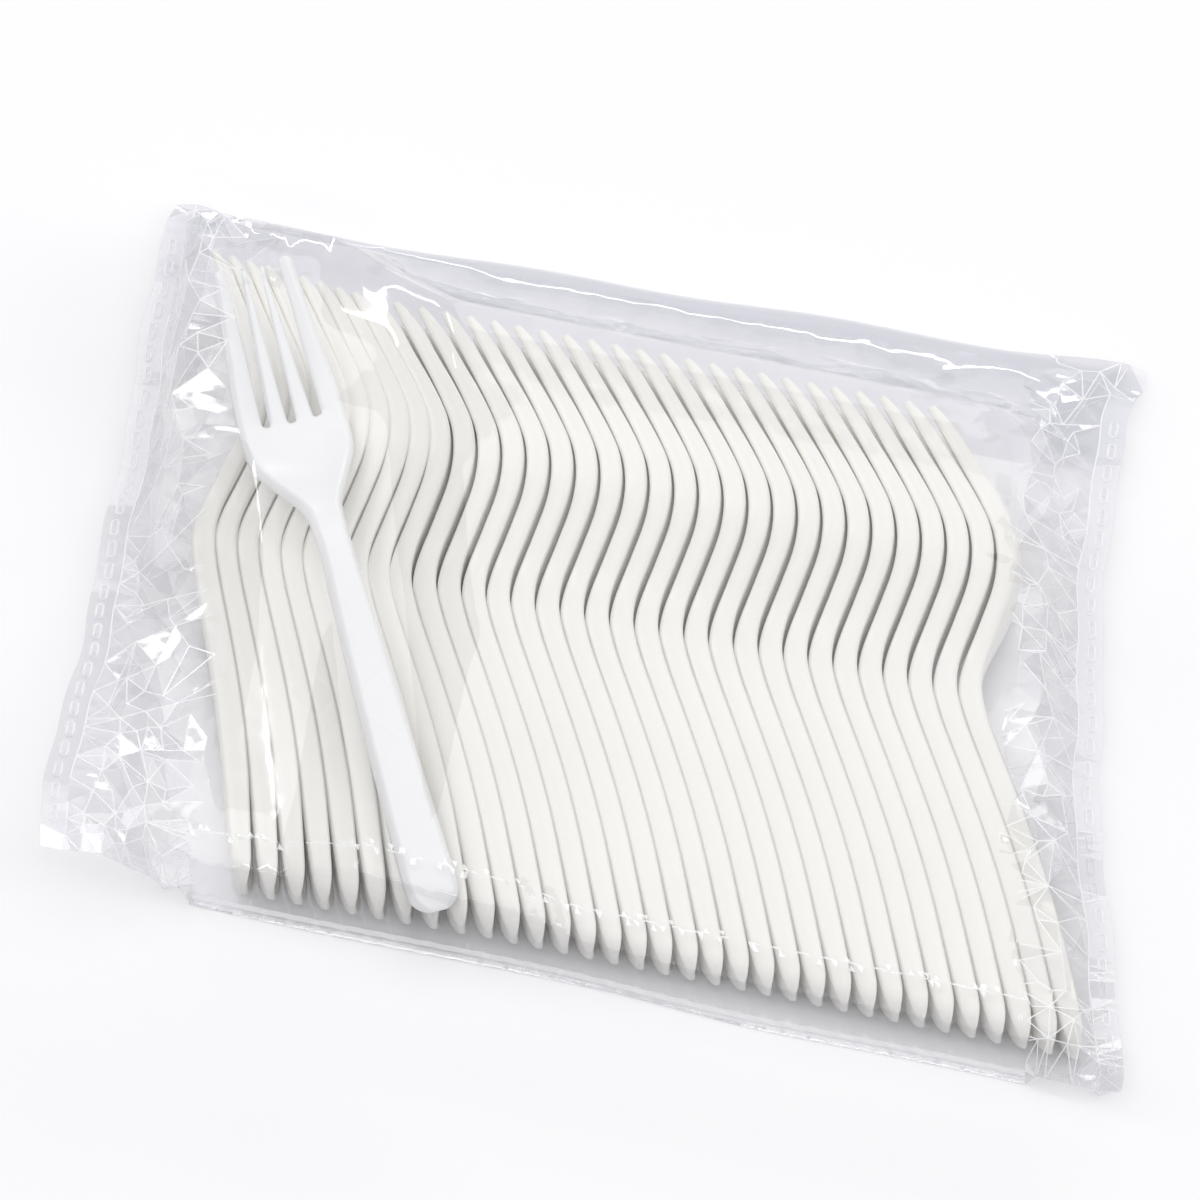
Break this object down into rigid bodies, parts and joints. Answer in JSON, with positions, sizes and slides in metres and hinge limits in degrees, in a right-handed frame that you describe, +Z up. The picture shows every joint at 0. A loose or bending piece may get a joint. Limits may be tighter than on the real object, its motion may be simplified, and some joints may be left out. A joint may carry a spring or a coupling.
{
  "type": "clear film pack of plastic forks",
  "caption": "Clear crinkled film pillow bag, sealed at both ends, holding white plastic forks nested on edge in a row with one more fork lying on top.",
  "frame": {"origin": "on the ground, under the middle of the bag's box", "axes": "+X along the row of forks, +Y from the handle ends to the tines, +Z up"},
  "size_m": [0.2664, 0.184, 0.0466],
  "materials": {
    "film": "clear glossy packing film, crinkled",
    "fork_ivory": "moulded, semi-gloss, warm white",
    "fork_white": "moulded, semi-gloss, white"
  },
  "bodies": {
    "root": {"film_bag": "film", "nested_fork_01": "fork_ivory", "nested_fork_02": "fork_ivory", "nested_fork_03": "fork_ivory", "nested_fork_04": "fork_ivory", "nested_fork_05": "fork_ivory", "nested_fork_06": "fork_ivory", "nested_fork_07": "fork_ivory", "nested_fork_08": "fork_ivory", "nested_fork_09": "fork_ivory", "nested_fork_10": "fork_ivory", "nested_fork_11": "fork_ivory", "nested_fork_12": "fork_ivory", "nested_fork_13": "fork_ivory", "nested_fork_14": "fork_ivory", "nested_fork_15": "fork_ivory", "nested_fork_16": "fork_ivory", "nested_fork_17": "fork_ivory", "nested_fork_18": "fork_ivory", "nested_fork_19": "fork_ivory", "nested_fork_20": "fork_ivory", "nested_fork_21": "fork_ivory", "nested_fork_22": "fork_ivory", "nested_fork_23": "fork_ivory", "nested_fork_24": "fork_ivory", "nested_fork_25": "fork_ivory", "nested_fork_26": "fork_ivory", "nested_fork_27": "fork_ivory", "nested_fork_28": "fork_ivory", "nested_fork_29": "fork_ivory", "nested_fork_30": "fork_ivory", "nested_fork_31": "fork_ivory", "nested_fork_32": "fork_ivory", "nested_fork_33": "fork_ivory", "top_fork": "fork_white"}
  },
  "joints": []
}
